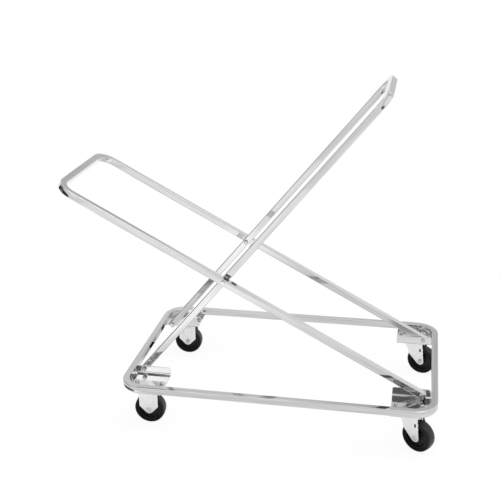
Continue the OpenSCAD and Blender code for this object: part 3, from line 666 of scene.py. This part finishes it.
chrome_finish("chrome_tube", (0.68, 0.68, 0.683), (0.52, 0.52, 0.523), 0.03, 0.09, (4.0, 45.0, 45.0))
chrome_finish("chrome_plate", (0.78, 0.78, 0.78), (0.68, 0.68, 0.68), 0.08, 0.16, (5.0, 16.0, 16.0))
zinc_finish("zinc_fork", (0.90, 0.90, 0.89), (0.82, 0.82, 0.81), 0.28, 0.42)
zinc_finish("zinc_fastener", (0.74, 0.74, 0.73), (0.58, 0.58, 0.575), 0.09, 0.18)
zinc_finish("sleeve_steel", (0.56, 0.56, 0.56), (0.46, 0.46, 0.46), 0.25, 0.38)
# the tyre's lighter tread band is partly wear and partly a painted highlight
black_finish("tyre_rubber", (0.003, 0.003, 0.0035), (0.011, 0.011, 0.011), 46.0, 0.30, 0.46, 0.00005,
             (0.014, (0.040, 0.040, 0.040)))
black_finish("core_plastic", (0.010, 0.010, 0.011), (0.022, 0.022, 0.023), 60.0, 0.30, 0.45, 0.00004)


# Frame of tube and sheet

draw("base_ring", [base_ring_skin()], "chassis", "chrome_tube", "base_frame")
for name, length, half_w, slope, way in (
        ("handle", HANDLE_LEN, HANDLE_HALF, HANDLE_SLOPE, 1),
        ("cradle", CRADLE_LEN, CRADLE_HALF, CRADLE_SLOPE, -1)):
    level, climb = way * cos(slope), sin(slope)
    loop = place(loop_skin(length, half_w), (-way * FOOT_X, 0, FOOT_Z), (level, 0, climb), z=(-climb, 0, level))
    draw(f"{name}_u", [loop], "chassis", "chrome_tube", f"{name}_loop")
for end, end_name, pan in ((-1, "front", pan_skin(FRONT_PAN_BEND)), (1, "rear", pan_skin(REAR_PAN_BEND))):
    for side, side_name in SIDES:
        draw(f"{end_name}_{side_name}_corner_pan", [place(pan, x=(end, 0, 0), y=(0, side, 0))],
             "chassis", "chrome_plate", f"{end_name}_{side_name}_pan")

# Fasteners of the frame and of the castors
long_bolt, foot_bolt = bolt_parts(2 * TUBE + PAN_T), bolt_parts(TUBE + PAN_T)
plate_bolt = bolt_parts(PLATE_T + PAN_T + WASHER_T)
spacer, washer = ring_parts(SPACER_R, PAN_T), ring_parts(WASHER_R, WASHER_T)
for spot, x, z, rows in (
        ("handle_foot", -FOOT_X, FOOT_Z, (("screws", "bolts", foot_bolt, FLANGE_Y - TUBE, 1),
                                          ("hexes", "nuts", nut, FLANGE_Y + PAN_T, 1))),
        ("cradle_foot", FOOT_X, FOOT_Z, (("screws", "bolts", foot_bolt, CRADLE_HALF, -1),
                                         ("hexes", "nuts", nut, FLANGE_Y, -1))),
        ("crossing", CROSS_X, CROSS_Z, (("screws", "bolts", long_bolt, CRADLE_HALF, -1),
                                        ("rings", "spacers", spacer, FLANGE_Y, 1),
                                        ("hexes", "nuts", nut, FLANGE_Y - TUBE, -1)))):
    for name, solid, parts, y, way in rows:
        draw(f"{spot}_{name}", on_both_sides(parts, x, z, y, way), "chassis", "zinc_fastener", f"{spot}_{solid}")
for name, solid, parts, z, turn in (
        ("screws", "bolts", plate_bolt, PLATE_Z, 0.1),
        ("rings", "washers", washer, CASTOR_H + PAN_T, 0.0),
        ("hexes", "nuts", nut, CASTOR_H + PAN_T + WASHER_T, 0.5)):
    draw(f"castor_{name}", at_castor_bolts(parts, z, turn), "chassis", "zinc_fastener", f"castor_{solid}")


# Castors

def box_corners(x0, x1, half_y, r):
    """Corners of a plate from x0 to x1, the same rounding on each."""
    return [(x1, -half_y, r), (x1, half_y, r), (x0, half_y, r), (x0, -half_y, r)]


def tip_corner(p, q, c):
    """Corner that, once rounded, makes a leg's round tip about c: the lines from p and q that touch the tip's
    circle meet there, halfway between the angles at which they touch."""
    first, last = (atan2(y - c[1], x - c[0]) + turn * acos(TIP_R / hypot(x - c[0], y - c[1]))
                   for (x, y), turn in ((p, -1), (q, 1)))
    mid, reach = (first + last) / 2, TIP_R / cos((last - first) / 2)
    return c[0] + reach * cos(mid), c[1] + reach * sin(mid), TIP_R


def fixed_leg_skins():
    """Leg of a fixed fork: straight sides, flared at the top, a rounded point at the axle, and a tongue with a
    round lower end that is pressed outwards; its sloping wall is the rounded rim of a thicker sheet."""
    half, low_z, high_z = FIXED_LEG_W / 2, AXLE_Z + LEG_LOW, CASTOR_H - LEG_TOP
    tip = tip_corner((half, low_z), (-half, low_z), (0, AXLE_Z))
    right = [(half, low_z, 3.0), (half, high_z, 12.0), (FLARE_X, PLATE_Z, 0.4)]
    corners = [tip] + right + [(-x, z, r) for x, z, r in right[::-1]]
    leg = pressed_sheet(corners, (0.0, AXLE_Z), BOLT_HOLE, FORK_T, 220, 12)
    end_z, end_r = AXLE_Z + TONGUE_LOW - TONGUE_R, TONGUE_R - 0.01
    edge = [(TONGUE_R, high_z, 0.5), (-TONGUE_R, high_z, 0.5), (-TONGUE_R, end_z, end_r),
            (TONGUE_R, end_z, end_r)]
    tongue = pressed_sheet(edge, (0.0, AXLE_Z + 40), PINHOLE, TONGUE_T, 160, 8, soft=TONGUE_SOFT)
    return [leg, place(tongue, (0, 0, FORK_T / 2))]


def swivel_leg_skins():
    """Leg of a swivel fork: broad under the crown, raked back to a round end at the axle, with an oval hole, and
    the gusset that widens it to the rear under the crown. The hole's edge is two straight sides and, above and
    below them, the two ends' half circles."""
    rear = (SWIVEL_REAR, CROWN_Z - GUSSET)
    corners = [(-SWIVEL_FRONT, CROWN_Z, 1.5), (*WAIST, 14.0), (*KNEE, 10.0),
               tip_corner(rear, KNEE, (TRAIL, AXLE_Z)), (*rear, 0.5), (SWIVEL_REAR - 0.5, CROWN_Z, 1.5)]

    def hole(w):
        c, s = np.abs(np.cos(w)), np.abs(np.sin(w))
        up = SLOT_HALF_H - SLOT_HALF_W
        side = SLOT_HALF_W / np.maximum(c, 1e-9)
        ends = up * s + np.sqrt(np.maximum(SLOT_HALF_W ** 2 - (up * c) ** 2, 0))
        return np.where(side * s < up, side, ends)
    leg = pressed_sheet(corners, (TRAIL - 1, AXLE_Z + 43), hole, FORK_T, 220, 24)
    top_z, low_z, end_x, r = CROWN_Z - 0.05, CROWN_Z - 2 * GUSSET, SWIVEL_REAR + GUSSET, 0.3
    fill = [(SWIVEL_REAR - 9, top_z, r), (SWIVEL_REAR - 9, low_z, r), (SWIVEL_REAR - 2, low_z, r),
            (SWIVEL_REAR, CROWN_Z - GUSSET - 1, 12.0), (end_x, CROWN_Z - 1.0, r), (end_x, top_z, r)]
    return [leg, pressed_sheet(fill, (SWIVEL_REAR - 5, CROWN_Z - 3), 0.3, FORK_T - 0.04, 90, 6)]


def legs(parts):
    """Stands a leg up on both sides of the wheel, its pressed side outwards."""
    mid = LEG_IN + FORK_T / 2
    return [place(p, (0, side * mid, 0), y=(0, 0, 1), z=(0, side, 0)) for p in parts for side, _ in SIDES]


def axle_parts():
    """Axle along Y with a low, slightly hollow head at +Y and a threaded end past the nut at -Y."""
    first, last = AXLE_HEAD[0][1], AXLE_HEAD[-1][1]
    head = turned(softened([(POLE, first)] + AXLE_HEAD + [(POLE, last)], 0.8, 6), 64)
    shank = turned([(POLE, -2 * LEG_OUT), (BOLT_R, -2 * LEG_OUT), (BOLT_R, 0.1), (POLE, 0.1)], 48)
    tail = thread_skin(-THREAD_BACK, NUT_H + THREAD_END)
    return [across(p, (0, way * LEG_OUT, 0), way) for p, way in ((head, 1), (shank, 1), (tail, -1))]


def tyre_parts():
    """Solid tyre: crowned tread, round shoulders, a shallow ring in each side and a mould line on the crown."""
    flat = TYRE_HALF - SHOULDER

    def tread(z):
        """Radius of the crowned tread at the distance z from its middle."""
        return WHEEL_R - (TREAD_CROWN - sqrt(TREAD_CROWN ** 2 - z ** 2))
    shoulder_r = tread(flat) - SHOULDER
    upper = [(CORE_R, TYRE_HALF), (CORE_R + 0.8, TYRE_HALF)]
    upper += [(CORE_R + RING_OUT + RING_HALF * sin(a), TYRE_HALF - RING_DEEP * cos(a))
              for a in np.linspace(-1.5, 1.5, 9)]
    upper += [(shoulder_r + SHOULDER * cos(a), flat + SHOULDER * sin(a))
              for a in np.linspace(QUARTER, 0, 10)]
    upper += [(tread(z), z) for z in np.linspace(flat, 0, 9)[1:-1]]
    lower = [(r, -z) for r, z in upper[::-1]]
    bed = [(CORE_R, z) for z in np.linspace(-TYRE_HALF, TYRE_HALF, 5)[1:-1]]
    return [across(turned(upper + [(WHEEL_R - 0.05, 0.0)] + lower + bed, 128, True))]


def core_parts():
    """Wheel core: hub, web and rim with softened edges, turned about the axle."""
    hub_z, rim_z, rim_r = TYRE_HALF + HUB_OUT, TYRE_HALF - RIM_BACK, CORE_R - RIM_T
    half = [(CORE_BORE, hub_z), (HUB_R, hub_z), (HUB_R, WEB_HALF), (rim_r, WEB_HALF), (rim_r, rim_z),
            (CORE_R, rim_z)]
    loop = [(CORE_BORE, 0.0)] + half + [(r, -z) for r, z in half[::-1]]
    return [across(turned_ring(loop, 1.2, 96, 5))]


def sleeve_parts():
    """Plain sleeve on the axle, its ends softened."""
    loop = [(SLEEVE_R, 0.0), (SLEEVE_R, LEG_IN), (SLEEVE_BORE, LEG_IN), (SLEEVE_BORE, -LEG_IN),
            (SLEEVE_R, -LEG_IN)]
    return [across(turned_ring(loop, 0.3, 48))]


def ball_ring_parts():
    """Ring of balls about the king pin; a ball is circles of latitude between two small caps at its poles."""
    lat = np.linspace(0.02 - QUARTER, QUARTER - 0.02, 13)
    ball = turned(np.stack([BALL_R * np.cos(lat), BALL_R * np.sin(lat)], -1), 20)
    return [place(ball, on_circle(BALL_RING, BALL_Z, a)) for a in full_turn(BALLS)]


def king_pin_parts():
    """King pin: a plain shank with a riveted head, a short cone, on the plate and another under the crown."""
    top, bottom = PLATE_Z + PLATE_T - DISH, CROWN_Z - CROWN_T - 0.3
    upper = [(PIN_R, top), (RIVET_R, top), (RIVET_TOP_R, top + RIVET_H), (POLE, top + RIVET_H)]
    lower = [(POLE, bottom - RIVET_H), (RIVET_TOP_R, bottom - RIVET_H), (RIVET_R, bottom), (PIN_R, bottom)]
    return [turned(softened(lower + upper, 0.8, 5), 64)]


def crown_parts():
    """Top of a swivel fork: a round crown with an upturned lip outside the balls, and the web between the legs."""
    under, lip_z, outer = CROWN_Z - CROWN_T, PLATE_Z - 3.0, LIP_R + LIP_T
    loop = [(10.0, under), (outer, under), (outer, lip_z), (LIP_R, lip_z), (LIP_R, CROWN_Z), (PIN_HOLE, CROWN_Z),
            (PIN_HOLE, under)]
    corners = box_corners(-SWIVEL_FRONT, SWIVEL_REAR + GUSSET, LEG_OUT, WEB_CORNER)
    web = pressed_sheet(corners, (0, 0), 6.0, CROWN_T, 100, 8)
    return [turned_ring(loop, CROWN_SOFT, 96, 5), place(web, (0, 0, CROWN_Z - CROWN_T / 2))]


def plate_parts(hole, steps, rows, press=None):
    """Castor plate with its rounded corners, flat or pressed, under the pan."""
    corners = box_corners(-PLATE_L / 2, PLATE_L / 2, PLATE_W / 2, PLATE_CORNER)
    plate = pressed_sheet(corners, (0, 0), hole, PLATE_T, steps, rows, press)
    return [place(plate, (0, 0, PLATE_Z + PLATE_T / 2))]


def dish(x, y):
    """Dish in the swivel castor's plate: flat round the king pin, then a smooth wall up to the plate."""
    return -DISH * (1 - step(np.hypot(x, y), DISH_FLOOR, DISH_FLOOR + DISH + DISH_EASE))


def set_in(parts, spot, turn, side):
    """Puts a castor's pieces, drawn for the right side, at a spot, turned about Z; the left is a mirror image."""
    c, s = cos(turn), sin(turn)
    return [place(p, spot, (c, s, 0), (-side * s, side * c, 0)) for p in parts]


def wheel_pieces(corner, carrier, spot, turn, side):
    """Wheel of one castor and, on its carrier, the sleeve, axle and nut; spot is the wheel's floor contact."""
    hub, wheel = (*spot[:2], AXLE_Z), f"{corner}_wheel"
    axle_nut = [across(p, (0, -LEG_OUT, 0), -1) for p in nut]
    for name, parts, body, slot, solid in (
            ("tread", tyre_parts(), wheel, "tyre_rubber", "tyre"),
            ("hub", core_parts(), wheel, "core_plastic", "wheel_core"),
            ("bush", sleeve_parts(), carrier, "sleeve_steel", "sleeve"),
            ("spindle", axle_parts(), carrier, "zinc_fastener", "axle"),
            ("spindle_hex", axle_nut, carrier, "zinc_fastener", "axle_nut")):
        draw(f"{corner}_{name}", set_in(parts, hub, turn, side), body, slot, f"{corner}_{solid}")


bracket = plate_parts(PINHOLE, 120, 8) + legs(fixed_leg_skins())
for side, side_name in SIDES:
    corner, spot = f"front_{side_name}", (-CASTOR_X, side * CASTOR_Y, 0)
    draw(f"{corner}_bracket", set_in(bracket, spot, 0.0, side), "chassis", "zinc_fork", f"{corner}_fork")
    wheel_pieces(corner, "chassis", spot, 0.0, side)

head_plate, king_pin, balls = plate_parts(PIN_HOLE, 140, 40, dish), king_pin_parts(), ball_ring_parts()
yoke = crown_parts() + legs(swivel_leg_skins())
for (side, side_name), turn in zip(SIDES, (LEFT_TURN, RIGHT_TURN)):
    corner, pin_spot = f"rear_{side_name}", (CASTOR_X, side * CASTOR_Y, 0)
    swivel = f"{corner}_swivel"
    fixed, turning = (pin_spot, 0.0, 1), (pin_spot, turn, side)
    for name, parts, seat, body, slot, solid in (
            ("head_plate", head_plate, fixed, "chassis", "zinc_fork", "top_plate"),
            ("pivot", king_pin, fixed, "chassis", "zinc_fastener", "king_pin"),
            ("race", balls, turning, swivel, "sleeve_steel", "balls"),
            ("yoke", yoke, turning, swivel, "zinc_fork", "fork")):
        draw(f"{corner}_{name}", set_in(parts, *seat), body, slot, f"{corner}_{solid}")
    spot = (pin_spot[0] + TRAIL * cos(turn), pin_spot[1] + TRAIL * sin(turn), 0)
    wheel_pieces(corner, swivel, spot, turn, side)


# Floor, light and camera

FLOOR_R, FLOOR_POINTS, FLOOR_DROP = 2.7, 96, 0.0005
FLOOR_WHITE = 1.02  # the floor's brightness to the camera
SURROUND, EVEN_LIGHT = 1.25, 0.55
RAYS = ("Is Camera Ray", "Is Glossy Ray", "Is Transmission Ray")


def floor_finish():
    """Pale floor: white to the camera with the object's shadow kept faintly in it. Metal sees it white as well,
    with
    painted light and shade in its glow: painted shade near the trolley, more light farther off and a painted pool
    of light round its front end, painted shade in a strip along the front end and in a patch ahead of it, and a
    painted shadow under the four castors."""
    material = bpy.data.materials.new("pale_floor")
    material.use_nodes = True
    tree = material.node_tree
    tree.nodes.remove(tree.nodes["Principled BSDF"])
    where = node(tree, "TexCoord", {}, "Object")
    squeezed = node(tree, "Mapping", {"Vector": where, "Scale": (0.8, 1.0, 1.0)}, "Vector")
    reach = node(tree, "VectorMath", {0: squeezed}, "Value", operation="LENGTH")
    x, y = node(tree, "SeparateXYZ", {"Vector": where}, "X", "Y")
    middle = node(tree, "Mapping", {"Vector": where, "Location": (-MM * BASE_X, 0, 0)}, "Vector")
    folded = node(tree, "VectorMath", {0: middle}, "Vector", operation="ABSOLUTE")
    castor = (MM * CASTOR_X, MM * CASTOR_Y, 0)
    away = node(tree, "VectorMath", {0: folded, 1: castor}, "Value", operation="DISTANCE")
    # painted light: a brighter pool in the floor's glow round the front end
    painted_light_pool = zone(tree, 0.36, [(reach, 0.60, 0.85), (x, -0.05, -0.40), (reach, 1.45, 1.10)])
    # painted shade: the glow is dimmer near the trolley and brighter farther off
    clear = work(tree, "ADD", work(tree, "MULTIPLY_ADD", rise(tree, reach, 0.60, 1.05), 0.24, 0.94), painted_light_pool)
    # painted shade: dark strips in the glow along and ahead of the front end, and a painted shadow under the
    # castors
    dark = chain(tree, "MAXIMUM", [
        zone(tree, 0.94, [(x, -0.44, -0.47), (x, -0.66, -0.62), (y, 0.5, 0.3), (y, -0.08, 0.00)]),
        zone(tree, 0.94, [(x, -0.60, -0.66), (x, -1.10, -1.00), (y, 0.16, 0.08), (y, -0.62, -0.54)]),
        zone(tree, 0.55, [(away, 0.125, 0.055)])])
    mirrored = work(tree, "MULTIPLY", clear, work(tree, "SUBTRACT", 1.0, dark))
    camera, glossy, through = node(tree, "LightPath", {}, *RAYS)
    level = node(tree, "Mix", {"Factor": camera, "A": mirrored, "B": FLOOR_WHITE}, "Result")
    glow = node(tree, "Emission", {"Strength": level}, "Emission")
    matt = node(tree, "BsdfDiffuse", {"Color": (0.88, 0.88, 0.88, 1)}, "BSDF")
    edge = work(tree, "MULTIPLY_ADD", rise(tree, reach, 1.1, 1.9), 0.10, 0.90)
    share = work(tree, "MULTIPLY", chain(tree, "MAXIMUM", [camera, glossy, through]), edge)
    both = node(tree, "MixShader", {"Fac": share, 1: matt, 2: glow}, "Shader")
    feed(tree, tree.nodes["Material Output"], {"Surface": both})
    return material


def floor_sheet():
    """Round sheet of floor: a ring of points about the trolley's middle, closed by one face."""
    turn = full_turn(FLOOR_POINTS)
    points = on_circle(FLOOR_R, 0 * turn, turn)
    mesh = bpy.data.meshes.new("floor")
    mesh.from_pydata(points.tolist(), [], [list(range(FLOOR_POINTS))])
    mesh.materials.append(floor_finish())
    floor = bpy.data.objects.new("floor", mesh)
    floor.location.z = -FLOOR_DROP
    bpy.context.scene.collection.objects.link(floor)


def studio_world():
    """White surround. The camera sees plain white. Metal sees a white cove that is a little dimmer at half height,
    with dark and dim zones and two brighter lights in it; all else gets an even light. The zones go by the
    direction from the trolley: -X is ahead of its front end, -Y is the camera's side and Z is up."""
    world = bpy.data.worlds.new("studio")
    bpy.context.scene.world = world
    world.use_nodes = True
    tree = world.node_tree
    tree.nodes.clear()
    where = node(tree, "TexCoord", {}, "Generated")
    x, y, z = node(tree, "SeparateXYZ", {"Vector": where}, *"XYZ")
    greys = ((0.0, 0.80), (0.30, 0.84), (0.36, 0.84), (0.45, 0.70), (0.52, 0.68), (0.60, 0.72), (0.70, 0.92),
             (1.0, 0.96))
    cove = blend_colours(tree, z, [(height, (grey,) * 3) for height, grey in greys])
    dark_zones = (
        # dim room behind the camera
        (0.84, [(y, -0.35, -0.50), (z, 0.32, 0.40), (z, 0.66, 0.58), (x, -0.22, -0.08), (x, 0.42, 0.30)]),
        # gap in the ceiling
        (0.94, [(x, -0.245, -0.268), (x, -0.48, -0.42), (y, 0.65, 0.45), (z, 0.56, 0.62)]),
        # dark end ahead of the front, low down and higher up
        (0.95, [(x, -0.34, -0.42), (z, -0.15, -0.09), (z, 0.24, 0.18), (y, 0.55, 0.42)]),
        (0.80, [(x, -0.70, -0.80), (z, 0.44, 0.50), (z, 0.68, 0.60)]),
        # dim low zone behind the rear end
        (0.50, [(x, 0.84, 0.95), (z, 0.14, 0.07)]),
        # dim zones on the far side, low down and at half height
        (0.30, [(y, 0.80, 0.92), (x, 0.02, 0.10), (x, 0.50, 0.40), (z, 0.22, 0.14)]),
        (0.22, [(y, 0.20, 0.50), (x, -0.15, 0.00), (z, 0.40, 0.46), (z, 0.62, 0.55)]))
    lights = (
        # light behind the camera
        (1.20, [(x, -0.17, -0.24), (y, -0.55, -0.68), (z, 0.34, 0.40), (z, 0.60, 0.55)]),
        # stronger light in the ceiling
        (1.60, [(x, 0.10, 0.16), (x, 0.46, 0.40), (y, -0.30, -0.20), (y, 0.40, 0.30), (z, 0.82, 0.88)]))
    dark = chain(tree, "MAXIMUM", [zone(tree, *one) for one in dark_zones])
    level = work(tree, "MULTIPLY_ADD", dark, -SURROUND, SURROUND)
    level = chain(tree, "ADD", [level] + [zone(tree, *one) for one in lights])
    plain = (1, 1, 1, 1)
    mirror, soft, white = (node(tree, "Background", {"Color": colour, "Strength": strength}, "Background")
                           for colour, strength in ((cove, level), (plain, EVEN_LIGHT), (plain, 1.0)))
    camera, glossy, through = node(tree, "LightPath", {}, *RAYS)
    lighting = node(tree, "MixShader", {"Fac": glossy, 1: soft, 2: mirror}, "Shader")
    seen = work(tree, "MAXIMUM", camera, through)
    both = node(tree, "MixShader", {"Fac": seen, 1: lighting, 2: white}, "Shader")
    node(tree, "OutputWorld", {"Surface": both})


def stand(name, data, spot, turn):
    """Sets a lamp or the camera at a spot, turned from looking straight down."""
    thing = bpy.data.objects.new(name, data)
    thing.matrix_world = Matrix.Translation(spot) @ turn
    bpy.context.scene.collection.objects.link(thing)
    return thing


def soft_lamp(name, spot, aim, size, power):
    """Square soft box at a spot, aimed at a point; bright surfaces don't show it."""
    data = bpy.data.lights.new(name, "AREA")
    data.shape, data.size, data.energy = "SQUARE", size, power
    turn = (Vector(spot) - Vector(aim)).to_track_quat("Z", "Y").to_matrix().to_4x4()
    stand(name, data, spot, turn).visible_glossy = False


# Camera of the photograph: turn, tilt and roll in radians, place in millimetres, focal length in picture widths
YAW, PITCH, ROLL = 0.203965, 0.375999, -0.018958
CAMERA_X, CAMERA_Y, CAMERA_Z = 415.308, -2610.837, 1584.646
FOCAL, SENSOR, FAR = 863.565 / 500.0, 36.0, 100.0


def look():
    """Camera of the photograph: rolled, then tilted, then turned about Z, in the frame of the base."""
    data = bpy.data.cameras.new("photo_view")
    data.sensor_width, data.lens, data.clip_end = SENSOR, SENSOR * FOCAL, FAR
    tilt = Matrix.Rotation(QUARTER - PITCH, 4, "X") @ Matrix.Rotation(ROLL, 4, "Z")
    spot = Vector((CAMERA_X + BASE_X, CAMERA_Y, CAMERA_Z)) * MM
    bpy.context.scene.camera = stand("photo_view", data, spot, Matrix.Rotation(YAW, 4, "Z") @ tilt)


floor_sheet()
studio_world()
soft_lamp("ceiling_box", (0.3, -0.4, 4.2), (0, 0, 0), 3.2, 58.0)
soft_lamp("front_box", (-2.6, -3.6, 2.4), (0, 0, 0.4), 2.2, 36.0)
soft_lamp("side_box", (2.6, 0.7, 2.2), (0.5, -0.2, 0.1), 1.2, 30.0)
look()
bpy.context.scene.view_settings.view_transform = "Standard"
bpy.context.view_layer.update()
